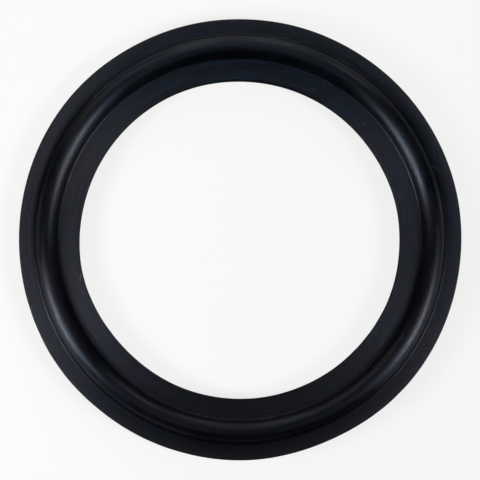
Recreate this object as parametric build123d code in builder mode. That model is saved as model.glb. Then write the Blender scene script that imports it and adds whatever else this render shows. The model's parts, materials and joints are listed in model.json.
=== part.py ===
"""Sanitary clamp gasket: one moulded rubber ring for a 64 mm hygienic clamp joint.

A flat web with a round sealing bead on each face. The web is clamped between
the faces of two ferrules, the beads sit in the ferrules' grooves, and the
product runs through the bore. Millimetres, +Z up, origin at the centre of the
bore on the mid-plane, so the ring lies level on its lower bead.
"""

import os

from build123d import *

# ---------------------------------------------------------------- dimensions
outside_diameter = 64.0  # over the rim, flush with the ferrules' rims
bore_diameter = 46.2  # the product's way through
bead_circle_diameter = 56.0  # centre line of both beads
web_thickness = 1.9  # between the inner lands, and between the outer lands
bead_radius = 1.65  # half-round crest of each bead
bead_height = 1.75  # crest above the land, each face
root_radius = 0.35  # where a bead runs out into the lands
edge_radius = 0.2  # the mould's edges at the rim and at the bore
seam_height = 0.04  # parting-line ridge at mid-height, rim and bore
seam_width = 0.16  # the same ridge, along Z, at its foot

# ------------------------------------------------------------------- derived
rim_radius = outside_diameter / 2
bore_radius = bore_diameter / 2
bead_circle_radius = bead_circle_diameter / 2
land_height = web_thickness / 2
bead_centre_height = land_height + bead_height - bead_radius

os.makedirs("parts", exist_ok=True)

with BuildPart() as gasket:
    # Half-section of the ring, X as radius and Y as height.
    with BuildSketch(Plane.XZ) as section:
        # The web, from the bore's wall to the rim.
        with Locations(((rim_radius + bore_radius) / 2, 0)):
            Rectangle(rim_radius - bore_radius, web_thickness)
        # The mould's edges, top and bottom of both walls.
        fillet(section.vertices(), radius=edge_radius)
        # The beads, one on each face.
        with Locations(
            (bead_circle_radius, bead_centre_height),
            (bead_circle_radius, -bead_centre_height),
        ):
            Circle(bead_radius)
        # The four roots, where the beads meet the lands.
        roots = section.vertices().filter_by(
            lambda v: abs(abs(v.Y) - land_height) < 1e-4
            and abs(v.X - bead_circle_radius) < bead_radius + 0.1
        )
        fillet(roots, radius=root_radius)
        # The parting line: a low ridge round the rim and round the bore.
        with BuildLine():
            Polyline(
                (rim_radius, -seam_width / 2),
                (rim_radius + seam_height, 0),
                (rim_radius, seam_width / 2),
                close=True,
            )
        make_face()
        with BuildLine():
            Polyline(
                (bore_radius, -seam_width / 2),
                (bore_radius - seam_height, 0),
                (bore_radius, seam_width / 2),
                close=True,
            )
        make_face()
    revolve(axis=Axis.Z)

gasket.part.label = "gasket"
export_step(gasket.part, "parts/gasket.step")

print(
    "gasket",
    "solids", len(gasket.solids()),
    "faces", len(gasket.faces()),
    "volume", round(gasket.part.volume, 1), "mm3",
    "box", gasket.part.bounding_box().size,
)
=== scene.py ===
import json
import math

import bpy
import numpy as np
from mathutils import Matrix, Vector


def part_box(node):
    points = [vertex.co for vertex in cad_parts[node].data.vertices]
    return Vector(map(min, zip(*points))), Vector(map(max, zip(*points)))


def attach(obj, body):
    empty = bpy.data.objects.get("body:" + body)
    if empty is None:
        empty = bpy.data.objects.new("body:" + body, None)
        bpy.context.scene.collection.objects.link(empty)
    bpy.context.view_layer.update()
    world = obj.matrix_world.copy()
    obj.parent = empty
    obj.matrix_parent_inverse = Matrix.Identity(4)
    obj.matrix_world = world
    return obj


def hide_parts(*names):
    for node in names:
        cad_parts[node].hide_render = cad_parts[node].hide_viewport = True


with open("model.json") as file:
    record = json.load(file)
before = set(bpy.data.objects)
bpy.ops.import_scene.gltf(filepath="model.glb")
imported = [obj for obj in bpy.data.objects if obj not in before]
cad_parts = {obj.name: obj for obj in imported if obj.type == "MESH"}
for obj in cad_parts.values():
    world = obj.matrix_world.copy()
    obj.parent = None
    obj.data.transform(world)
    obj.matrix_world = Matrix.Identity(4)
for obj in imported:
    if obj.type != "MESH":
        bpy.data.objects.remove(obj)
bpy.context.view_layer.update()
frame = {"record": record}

MM = 0.001

# ---------------------------------------------------------------- the frame's sizes, in millimetres
mounts = {m["name"]: m for m in frame["record"]["mounts"]}
low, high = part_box("gasket")
BORE_R = mounts["bore"]["dims"]["r_mm"]
RIM_R = mounts["rim"]["dims"]["r_mm"]
LAND = mounts["outer_land_top"]["pos_m"][2] * 1000
CREST = high.z * 1000
FLOOR_Z = low.z
BEAD_CIRCLE_R = 28.0
BEAD_R = 1.65
ROOT_R = 0.35
EDGE_R = 0.2
SEAM_HALF = 0.08
SEAM_HEIGHT = 0.04
BEAD_Z = CREST - BEAD_R

# how far the moulded ring is out of round, in millimetres: (waves round the ring, size, azimuth of a crest in degrees)
RIM_WAVES = (
    (2, 0.017, 10), (3, 0.034, 120), (4, 0.027, 51), (5, 0.008, 52), (6, 0.034, 25), (7, 0.021, 10.6),
    (8, 0.012, 3), (10, 0.005, 30), (11, 0.010, 12), (12, 0.007, 7), (13, 0.006, 22),
)
BORE_WAVES = (
    (1, 0.100, 254), (2, 0.042, 157), (3, 0.006, 74), (4, 0.045, 5.4), (5, 0.037, 47), (6, 0.022, 11),
    (7, 0.009, 38), (8, 0.017, 16), (10, 0.008, 14), (11, 0.006, 13), (12, 0.006, 10.6),
)


def wave(azimuth, waves):
    total = np.zeros_like(azimuth)
    for count, size, crest in waves:
        total += size * np.cos(count * (azimuth - math.radians(crest)))
    return total


# ---------------------------------------------------------------- the ring
def arc(cr, cz, radius, start, end, steps):
    """Points on an arc in the half-section, both ends included; angles in degrees from +R towards +Z."""
    angles = np.radians(np.linspace(start, end, steps + 1))
    return [(cr + radius * math.cos(a), cz + radius * math.sin(a)) for a in angles]


def half_section():
    """The closed half-section of the ring as radius and height, from the rim's parting line over the top face, down the
    bore's wall and back under the lower face."""
    reach, drop = BEAD_R + ROOT_R, BEAD_Z - (LAND + ROOT_R)
    side = math.sqrt(reach * reach - drop * drop)
    turn = math.degrees(math.asin(drop / reach))
    top = [(RIM_R + SEAM_HEIGHT, 0.0), (RIM_R + SEAM_HEIGHT * 0.55, SEAM_HALF * 0.35), (RIM_R, SEAM_HALF)]
    top += [(RIM_R, z) for z in (0.14, 0.36, 0.58, 0.72)]
    top += arc(RIM_R - EDGE_R, LAND - EDGE_R, EDGE_R, 0, 90, 6)
    outer_root = BEAD_CIRCLE_R + side
    inner_root = BEAD_CIRCLE_R - side
    for r in np.linspace(RIM_R - EDGE_R - 0.04, outer_root + 0.04, 8):
        top.append((float(r), LAND))
    top += arc(outer_root, LAND + ROOT_R, ROOT_R, 270, 180 - turn, 7)
    top += arc(BEAD_CIRCLE_R, BEAD_Z, BEAD_R, -turn, 180 + turn, 30)[1:-1]
    top += arc(inner_root, LAND + ROOT_R, ROOT_R, turn, -90, 7)
    for r in np.linspace(inner_root - 0.04, BORE_R + EDGE_R + 0.04, 9):
        top.append((float(r), LAND))
    top += arc(BORE_R + EDGE_R, LAND - EDGE_R, EDGE_R, 90, 180, 6)
    top += [(BORE_R, z) for z in (0.72, 0.58, 0.36, 0.14)]
    top += [(BORE_R, SEAM_HALF), (BORE_R - SEAM_HEIGHT * 0.55, SEAM_HALF * 0.35), (BORE_R - SEAM_HEIGHT, 0.0)]
    under = [(r, -z) for r, z in reversed(top[1:-1])]
    return np.array(top + under, float)


def ring_mesh(name, segments):
    section = half_section()
    count = len(section)
    azimuth = np.arange(segments) * (2 * math.pi / segments)
    rng = np.random.default_rng(7)
    # a little of the rim's shape reaches the bore, and the other way round
    share = (section[:, 0] - BORE_R) / (RIM_R - BORE_R)
    share = np.clip(share, 0, 1)
    share = share * share * (3 - 2 * share)
    radius = section[None, :, 0] + wave(azimuth, RIM_WAVES)[:, None] * share[None] + wave(azimuth, BORE_WAVES)[:, None] * (1 - share[None])
    height = np.repeat(section[None, :, 1], segments, 0)
    # the parting line stands out unevenly, as a trimmed flash does
    trim = np.zeros(segments)
    for n in range(3, 60):
        trim += rng.normal() / n ** 0.6 * np.cos(n * azimuth + rng.uniform(0, 6.283))
    trim = 0.62 + 0.38 * np.tanh(trim / trim.std())
    for j, (r, z) in enumerate(section):
        if abs(z) < SEAM_HALF * 0.9 and r > RIM_R:
            radius[:, j] -= (r - RIM_R) * (1 - trim)
        elif abs(z) < SEAM_HALF * 0.9 and r < BORE_R:
            radius[:, j] += (BORE_R - r) * (1 - np.roll(trim, segments // 3))
    x = radius * np.cos(azimuth)[:, None] * MM
    y = radius * np.sin(azimuth)[:, None] * MM
    # the waves never carry the rim outside the frame's box
    fit = min(1.0, high.x / np.abs(x).max(), high.y / np.abs(y).max())
    x, y = x * fit, y * fit
    points = np.stack([x, y, height * MM], -1).reshape(-1, 3)
    faces = []
    for i in range(segments):
        a, b = i * count, ((i + 1) % segments) * count
        for j in range(count):
            k = (j + 1) % count
            faces.append((a + j, b + j, b + k, a + k))
    mesh = bpy.data.meshes.new(name)
    mesh.from_pydata(points.tolist(), [], faces)
    mesh.validate()
    mesh.polygons.foreach_set("use_smooth", np.ones(len(mesh.polygons), bool))
    mesh.update()
    return mesh, count


mesh, section_points = ring_mesh("ring", 540)
ring = bpy.data.objects.new("gasket_ring", mesh)
bpy.context.scene.collection.objects.link(ring)


# ---------------------------------------------------------------- materials
class Graph:
    """Short names for the shader nodes that the rubber is made of."""

    def __init__(self, name):
        self.material = bpy.data.materials.new(name)
        self.material.use_nodes = True
        self.tree = self.material.node_tree
        self.tree.nodes.clear()

    def node(self, kind, **settings):
        made = self.tree.nodes.new(kind)
        for key, value in settings.items():
            setattr(made, key, value)
        return made

    def plug(self, value, socket):
        if isinstance(value, (int, float)):
            socket.default_value = value
        elif isinstance(value, (tuple, list)):
            socket.default_value = value
        else:
            self.tree.links.new(value, socket)

    def math(self, operation, *values, clamp=False):
        made = self.node("ShaderNodeMath", operation=operation, use_clamp=clamp)
        for i, value in enumerate(values):
            self.plug(value, made.inputs[i])
        return made.outputs[0]

    def vector(self, operation, *values, out=0):
        made = self.node("ShaderNodeVectorMath", operation=operation)
        for i, value in enumerate(values):
            self.plug(value, made.inputs[i])
        return made.outputs[out]

    def ramp(self, value, low_in, high_in, low_out=0.0, high_out=1.0):
        made = self.node("ShaderNodeMapRange", interpolation_type="SMOOTHSTEP")
        made.clamp = True
        for i, v in enumerate((value, low_in, high_in, low_out, high_out)):
            self.plug(v, made.inputs[i])
        return made.outputs[0]

    def noise(self, vector, scale, detail=2.0, roughness=0.5, distortion=0.0, w=None):
        made = self.node("ShaderNodeTexNoise", noise_dimensions="4D" if w is not None else "3D")
        self.plug(vector, made.inputs["Vector"])
        if w is not None:
            self.plug(w, made.inputs["W"])
        made.inputs["Scale"].default_value = scale
        made.inputs["Detail"].default_value = detail
        made.inputs["Roughness"].default_value = roughness
        made.inputs["Distortion"].default_value = distortion
        return made.outputs[0]

    def mix(self, share, a, b, blend="MIX"):
        made = self.node("ShaderNodeMix", data_type="RGBA", blend_type=blend)
        self.plug(share, made.inputs[0])
        self.plug(a, made.inputs[6])
        self.plug(b, made.inputs[7])
        return made.outputs[2]


BEAD_ROUGHNESS = 0.34
LAND_ROUGHNESS = 0.58
ANISOTROPY = 0.85
BASE_DARK = (0.0004, 0.0004, 0.0005, 1.0)
BASE_LIGHT = (0.0100, 0.0100, 0.0116, 1.0)
# painted light: a lighter grey for the lands on the side where the lamps fall
PAINTED_LIGHT_TINT = (0.0165, 0.0152, 0.0158, 1.0)
# painted light: a lighter grey for the outer land towards the rim, away from the bead's shade
PAINTED_RIM_LIGHT = (0.0130, 0.0130, 0.0135, 1.0)
BLOOM_VIOLET = (1.35, 0.62, 1.10, 1.0)
BLOOM_TEAL = (0.25, 1.20, 1.55, 1.0)
BLOOM_DULL = (1.05, 1.05, 0.50, 1.0)
BLOOM_BLUE = (0.95, 0.95, 1.60, 1.0)
DUST = (0.085, 0.085, 0.080, 1.0)
MARKS_DEPTH = 14.0
FINE_MARKS_DEPTH = 5.0
SPECULAR_TINT = (0.715, 0.768, 1.0, 1.0)


# specks of dust on the top face: x and y in millimetres, radius, how light they are
SPECKS = [
    (17.87, 16.67, 0.13, 0.9), (4.15, -24.99, 0.11, 0.45), (5.1, -25.6, 0.07, 0.5),
    (-24.6, 8.9, 0.07, 0.5), (-12.2, 21.4, 0.08, 0.4), (21.4, -13.3, 0.07, 0.4), (-19.5, -20.9, 0.08, 0.4),
]
# short scuffs, from one point to the other, in millimetres: half their width, how light they are
SCUFFS = [((-22.92, -5.10), (-23.10, -6.35), 0.11, 0.8), ((27.55, 10.62), (28.62, 10.02), 0.10, 0.5)]


def rubber():
    g = Graph("moulded_rubber")
    place = g.node("ShaderNodeTexCoord").outputs["Object"]
    mm = g.vector("SCALE", place)
    mm.node.inputs[3].default_value = 1000.0
    parts = g.node("ShaderNodeSeparateXYZ")
    g.plug(mm, parts.inputs[0])
    x, y, z = parts.outputs
    radius = g.math("SQRT", g.math("ADD", g.math("MULTIPLY", x, x), g.math("MULTIPLY", y, y)))
    # unit direction round the ring, so that nothing has a seam at one azimuth
    ux, uy = g.math("DIVIDE", x, radius), g.math("DIVIDE", y, radius)

    def turned(across, along, offset, detail=3.0, roughness=0.6):
        """Noise that changes fast across the ring and slowly round it, like the marks of a turned mould."""
        joined = g.node("ShaderNodeCombineXYZ")
        g.plug(g.math("MULTIPLY", radius, across), joined.inputs[0])
        g.plug(g.math("MULTIPLY", ux, along), joined.inputs[1])
        g.plug(g.math("MULTIPLY", uy, along), joined.inputs[2])
        w = g.math("ADD", g.math("MULTIPLY", z, across), offset)
        return g.noise(joined.outputs[0], 1.0, detail, roughness, w=w)

    marks = turned(1.7, 5.0, 3.0)
    fine_marks = turned(4.5, 16.0, 11.0, 2.0)
    patches = g.noise(mm, 0.16, 3.0, 0.55)
    grain = g.noise(mm, 3.6, 3.0, 0.7)
    pores = g.noise(mm, 1.9, 4.0, 0.7)
    streaks = turned(3.0, 14.0, 21.0, 2.0, 0.6)
    rings = turned(2.3, 3.5, 31.0, 3.0, 0.7)

    # the lands keep the mould's turning marks, and the beads come out smoother
    off_bead = g.math("ABSOLUTE", g.math("SUBTRACT", radius, BEAD_CIRCLE_R))
    land = g.ramp(off_bead, BEAD_R + 0.05, BEAD_R + 0.4)
    kept = g.math("ADD", g.math("MULTIPLY", land, 0.65), 0.35)

    # height, in micrometres
    height = g.math("MULTIPLY", marks, MARKS_DEPTH)
    height = g.math("ADD", height, g.math("MULTIPLY", fine_marks, FINE_MARKS_DEPTH))
    height = g.math("MULTIPLY", height, kept)
    height = g.math("ADD", height, g.math("MULTIPLY", grain, g.math("ADD", g.math("MULTIPLY", land, 32.0), 1.5)))
    height = g.math("ADD", height, g.math("MULTIPLY", pores, 3.0))
    bump = g.node("ShaderNodeBump")
    bump.inputs["Strength"].default_value = 1.0
    bump.inputs["Distance"].default_value = 1e-6
    g.plug(height, bump.inputs["Height"])

    rough = g.math("ADD", g.ramp(patches, 0.3, 0.7, -0.035, 0.035), BEAD_ROUGHNESS)
    rough = g.math("ADD", rough, g.math("MULTIPLY", land, LAND_ROUGHNESS - BEAD_ROUGHNESS))
    rough = g.math("ADD", rough, g.math("MULTIPLY", g.ramp(streaks, 0.33, 0.67, -0.06, 0.06), kept))
    rough = g.math("ADD", rough, g.math("MULTIPLY", g.ramp(grain, 0.36, 0.64, -0.09, 0.09), kept))

    tone = g.math("ADD", g.math("MULTIPLY", patches, 0.10), g.math("MULTIPLY", streaks, 0.22))
    tone = g.math("ADD", tone, g.math("MULTIPLY", rings, 0.36))
    tone = g.math("ADD", tone, g.math("MULTIPLY", grain, 0.32))
    share = g.math("MULTIPLY", g.ramp(tone, 0.44, 0.60), g.math("ADD", g.math("MULTIPLY", land, 0.78), 0.22))
    colour = g.mix(share, BASE_DARK, BASE_LIGHT)
    # the rubber's bloom shifts a little between violet and teal
    hue = g.noise(mm, 0.28, 4.0, 0.65)
    hue = g.math("ADD", hue, g.math("ADD", g.math("MULTIPLY", y, 0.003), 0.02))
    bloom = g.mix(g.ramp(hue, 0.38, 0.62), BLOOM_VIOLET, BLOOM_TEAL)
    colour = g.mix(1.0, colour, bloom, "MULTIPLY")
    blue = g.ramp(g.noise(mm, 0.24, 4.0, 0.65, w=5.0), 0.38, 0.62)
    colour = g.mix(1.0, colour, g.mix(blue, BLOOM_DULL, BLOOM_BLUE), "MULTIPLY")
    # painted light: the lands are painted a faint lighter grey on the -X side, where the lamps fall; painted shade
    # darkens the colour on the side towards -Y; and the outer land is painted lighter towards the rim, away from the
    # bead's shade
    # painted light on the lands of the -X side, where the lamps fall
    painted_light_side = g.math("ADD", g.math("MULTIPLY", ux, -0.99), g.math("MULTIPLY", uy, 0.05))
    painted_light_side = g.math("MULTIPLY", g.ramp(painted_light_side, 0.5, 1.0, 0.0, 0.55), g.math("MULTIPLY", land, g.ramp(tone, 0.36, 0.6, 0.4, 1.0)))
    colour = g.mix(painted_light_side, colour, PAINTED_LIGHT_TINT)
    # painted shade: the colour is made darker on the side towards -Y
    clear = g.math("ADD", g.math("MULTIPLY", ux, 0.26), g.math("MULTIPLY", uy, -0.96))
    colour = g.mix(g.ramp(clear, 0.6, 0.95, 0.0, 0.85), colour, BASE_DARK)
    # painted light: the outer land is lighter towards the rim, where the bead's shade ends
    painted_rim_light_share = g.math("MULTIPLY", g.ramp(radius, RIM_R - 1.3, RIM_R - 0.1, 0.0, 0.6), g.ramp(tone, 0.36, 0.6, 0.5, 1.0))
    colour = g.mix(painted_rim_light_share, colour, PAINTED_RIM_LIGHT)
    # dust and the scuff, on the top face only
    on_top = g.ramp(z, LAND * 0.5, LAND * 0.9)
    dust = 0.0
    for sx, sy, sr, light in SPECKS:
        dx, dy = g.math("SUBTRACT", x, sx), g.math("SUBTRACT", y, sy)
        far = g.math("SQRT", g.math("ADD", g.math("MULTIPLY", dx, dx), g.math("MULTIPLY", dy, dy)))
        far = g.math("ADD", far, g.math("MULTIPLY", g.math("SUBTRACT", grain, 0.5), sr * 1.2))
        dust = g.math("MAXIMUM", g.ramp(far, sr * 0.55, sr * 1.15, light, 0.0), dust)
    for (ax, ay), (bx, by), wide, light in SCUFFS:
        long = math.hypot(bx - ax, by - ay)
        tx, ty = (bx - ax) / long, (by - ay) / long
        px, py = g.math("SUBTRACT", x, ax), g.math("SUBTRACT", y, ay)
        along = g.math("ADD", g.math("MULTIPLY", px, tx), g.math("MULTIPLY", py, ty))
        across = g.math("ABSOLUTE", g.math("SUBTRACT", g.math("MULTIPLY", px, ty), g.math("MULTIPLY", py, tx)))
        ends = g.math("MULTIPLY", g.ramp(along, -0.05, 0.25), g.ramp(along, long - 0.3, long + 0.05, 1.0, 0.0))
        across = g.math("ADD", across, g.math("MULTIPLY", g.math("SUBTRACT", grain, 0.5), 0.12))
        scuff = g.math("MULTIPLY", ends, g.ramp(across, wide * 0.35, wide, light, 0.0))
        dust = g.math("MAXIMUM", dust, scuff)
    dust = g.math("MULTIPLY", dust, on_top)
    colour = g.mix(dust, colour, DUST)

    shader = g.node("ShaderNodeBsdfPrincipled")
    g.plug(colour, shader.inputs["Base Color"])
    g.plug(rough, shader.inputs["Roughness"])
    g.plug(bump.outputs[0], shader.inputs["Normal"])
    shader.inputs["IOR"].default_value = 1.5
    shader.inputs["Specular Tint"].default_value = SPECULAR_TINT
    shader.inputs["Anisotropic"].default_value = ANISOTROPY
    shader.inputs["Anisotropic Rotation"].default_value = 0.25
    tangent = g.node("ShaderNodeTangent", direction_type="RADIAL", axis="Z")
    g.plug(tangent.outputs[0], shader.inputs["Tangent"])
    out = g.node("ShaderNodeOutputMaterial")
    g.plug(shader.outputs[0], out.inputs["Surface"])
    return g.material


mesh.materials.append(rubber())
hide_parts("gasket")
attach(ring, "root")

# ---------------------------------------------------------------- floor, light and camera
floor_mesh = bpy.data.meshes.new("floor")
S = 4.0
floor_mesh.from_pydata([(-S, -S, 0), (S, -S, 0), (S, S, 0), (-S, S, 0)], [], [(0, 1, 2, 3)])
floor = bpy.data.objects.new("floor", floor_mesh)
floor.location = (0, 0, FLOOR_Z)
bpy.context.scene.collection.objects.link(floor)

g = Graph("pale_floor")
paper = g.node("ShaderNodeBsdfPrincipled")
paper.inputs["Base Color"].default_value = (0.20, 0.20, 0.20, 1)
paper.inputs["Roughness"].default_value = 0.9
paper.inputs["Specular IOR Level"].default_value = 0.1
paper.inputs["Emission Color"].default_value = (1, 1, 1, 1)
paper.inputs["Emission Strength"].default_value = 0.79
out = g.node("ShaderNodeOutputMaterial")
g.plug(paper.outputs[0], out.inputs["Surface"])
floor_mesh.materials.append(g.material)
# the pale floor is only a ground to show the ring on, so it isn't mirrored in the rubber
floor.visible_glossy = False
floor.visible_diffuse = False

# softboxes: azimuth and elevation they come from, strength, how wide they look, and colour; angles in degrees
BRIGHTNESS = 1.30
LIGHTS = [
    (0, 50, 0.085, 14, (0.94, 0.98, 1.00)),
    (60, 38, 0.105, 14, (1.00, 1.00, 0.97)),
    (195, 50, 0.148, 14, (0.79, 1.00, 1.00)),
    (240, 78, 0.042, 14, (0.99, 0.86, 1.00)),
    (300, 63, 0.035, 18, (0.79, 0.91, 1.00)),
    (330, 50, 0.193, 14, (0.79, 0.79, 1.00)),
    (330, 63, 0.040, 18, (1.00, 0.79, 0.79)),
    (335, 44, 0.215, 10, (0.84, 1.00, 0.79)),
    (345, 38, 0.092, 14, (0.79, 0.79, 1.00)),
    (345, 50, 0.385, 14, (1.00, 0.92, 0.79)),
]
# the same for softboxes that stand close to the ring, so that the side towards them is the brighter one
NEAR_DISTANCE = 0.20
NEAR_LIGHTS = [
    (80, 24, 0.136, 18, (1.00, 0.97, 0.90)),
    (90, 63, 0.060, 18, (0.79, 0.89, 1.00)),
    (100, 24, 0.127, 18, (1.00, 0.92, 0.80)),
    (105, 50, 0.054, 14, (0.79, 0.86, 1.00)),
    (120, 38, 0.081, 14, (1.00, 0.98, 0.98)),
    (135, 38, 0.070, 14, (1.00, 0.89, 0.80)),
    (180, 50, 0.053, 14, (0.79, 0.79, 1.00)),
    (195, 38, 0.545, 14, (1.00, 0.84, 0.82)),
    (205, 38, 0.310, 10, (0.82, 1.00, 0.88)),
    (210, 50, 0.210, 14, (0.84, 0.97, 1.00)),
]
for i, (azimuth, elevation, strength, width, colour) in enumerate(LIGHTS):
    data = bpy.data.lights.new(f"softbox_{i}", "SUN")
    data.energy = strength * BRIGHTNESS
    data.angle = math.radians(width)
    data.color = colour
    light = bpy.data.objects.new(f"softbox_{i}", data)
    a, e = math.radians(azimuth), math.radians(elevation)
    towards = Vector((math.cos(a) * math.cos(e), math.sin(a) * math.cos(e), math.sin(e)))
    light.rotation_euler = towards.to_track_quat("Z", "Y").to_euler()
    light.location = towards * 0.8
    bpy.context.scene.collection.objects.link(light)
for i, (azimuth, elevation, strength, width, colour) in enumerate(NEAR_LIGHTS):
    data = bpy.data.lights.new(f"near_softbox_{i}", "POINT")
    data.energy = 0.5 * strength * BRIGHTNESS
    data.shadow_soft_size = NEAR_DISTANCE * math.tan(math.radians(width / 2))
    data.color = colour
    light = bpy.data.objects.new(f"near_softbox_{i}", data)
    a, e = math.radians(azimuth), math.radians(elevation)
    light.location = Vector((math.cos(a) * math.cos(e), math.sin(a) * math.cos(e), math.sin(e))) * NEAR_DISTANCE
    light.visible_camera = False
    bpy.context.scene.collection.objects.link(light)

# pale cards round the ring, seen only as reflections in the bead's outer flank: azimuth of the middle, strength
CARDS = [(0, 0.60), (30, 0.35), (60, 0.44), (90, 0.57), (120, 0.47), (150, 0.15), (180, 0.45), (210, 0.80), (240, 0.36), (270, 0.15), (300, 0.06), (330, 0.56)]
for i, (azimuth, strength) in enumerate(CARDS):
    points, faces = [], []
    for k in range(7):
        t = math.radians(azimuth - 15 + k * 5)
        points += [(r * math.cos(t), r * math.sin(t), z) for r, z in ((0.040, 0.00008), (0.120, 0.00008), (0.120, 0.0067))]
    for k in range(6):
        for j in (0, 1):
            faces.append((3 * k + j, 3 * k + j + 1, 3 * k + j + 4, 3 * k + j + 3))
    card_mesh = bpy.data.meshes.new(f"card_{i}")
    card_mesh.from_pydata(points, [], faces)
    card = bpy.data.objects.new(f"card_{i}", card_mesh)
    card.location = (0, 0, FLOOR_Z)
    bpy.context.scene.collection.objects.link(card)
    g = Graph(f"card_{i}")
    glow = g.node("ShaderNodeEmission")
    glow.inputs["Strength"].default_value = strength * BRIGHTNESS
    out = g.node("ShaderNodeOutputMaterial")
    g.plug(glow.outputs[0], out.inputs["Surface"])
    card_mesh.materials.append(g.material)
    card.visible_camera = False
    card.visible_diffuse = False
    card.visible_transmission = False
    card.visible_shadow = False

AMBIENT = 0.004
world = bpy.data.worlds.new("studio")
bpy.context.scene.world = world
world.use_nodes = True
lit = world.node_tree.nodes["Background"]
lit.inputs["Color"].default_value = (1, 1, 1, 1)
lit.inputs["Strength"].default_value = AMBIENT

# a pale backdrop all round, for the low views: it is only seen, and lights nothing
dome_mesh = bpy.data.meshes.new("backdrop")
sides, height, reach = 48, 2.0, 3.0
ring_points = [(reach * math.cos(2 * math.pi * i / sides), reach * math.sin(2 * math.pi * i / sides)) for i in range(sides)]
dome_mesh.from_pydata(
    [(px, py, 0) for px, py in ring_points] + [(px, py, height) for px, py in ring_points],
    [],
    [(i, (i + 1) % sides, sides + (i + 1) % sides, sides + i) for i in range(sides)] + [tuple(range(sides, 2 * sides))],
)
dome = bpy.data.objects.new("backdrop", dome_mesh)
dome.location = (0, 0, FLOOR_Z)
bpy.context.scene.collection.objects.link(dome)
g = Graph("pale_backdrop")
glow = g.node("ShaderNodeEmission")
glow.inputs["Color"].default_value = (0.90, 0.90, 0.90, 1)
out = g.node("ShaderNodeOutputMaterial")
g.plug(glow.outputs[0], out.inputs["Surface"])
dome_mesh.materials.append(g.material)
dome.visible_diffuse = False
dome.visible_glossy = False
dome.visible_transmission = False
dome.visible_shadow = False

CAMERA_DISTANCE = 0.60
CAMERA_ELEVATION = 84.6
CAMERA_AZIMUTH = -8.0  # 0 looks along +Y
RIM_SPAN_PX = 443.9
AIM = (-0.02, -0.28)  # millimetres, where the picture's centre falls on the land
camera_data = bpy.data.cameras.new("camera")
camera_data.sensor_width = 36.0
camera_data.lens = 36.0 * (CAMERA_DISTANCE - LAND * MM) / (2 * RIM_R * MM * 480 / RIM_SPAN_PX)
camera_data.clip_start = 0.01
camera_data.clip_end = 50
camera = bpy.data.objects.new("camera", camera_data)
a, e = math.radians(CAMERA_AZIMUTH), math.radians(CAMERA_ELEVATION)
back = Vector((math.sin(a) * math.cos(e), -math.cos(a) * math.cos(e), math.sin(e)))
# up in the picture is +Y, whatever the azimuth that the camera leans towards
up = Vector((0, 1, 0))
up = (up - back * up.dot(back)).normalized()
right = up.cross(back)
turn = Matrix((right, up, back)).transposed()
aim = Vector((AIM[0] * MM, AIM[1] * MM, LAND * MM))
camera.matrix_world = Matrix.Translation(aim + back * CAMERA_DISTANCE) @ turn.to_4x4()
bpy.context.scene.collection.objects.link(camera)
bpy.context.scene.camera = camera
bpy.context.scene.view_settings.view_transform = "Standard"
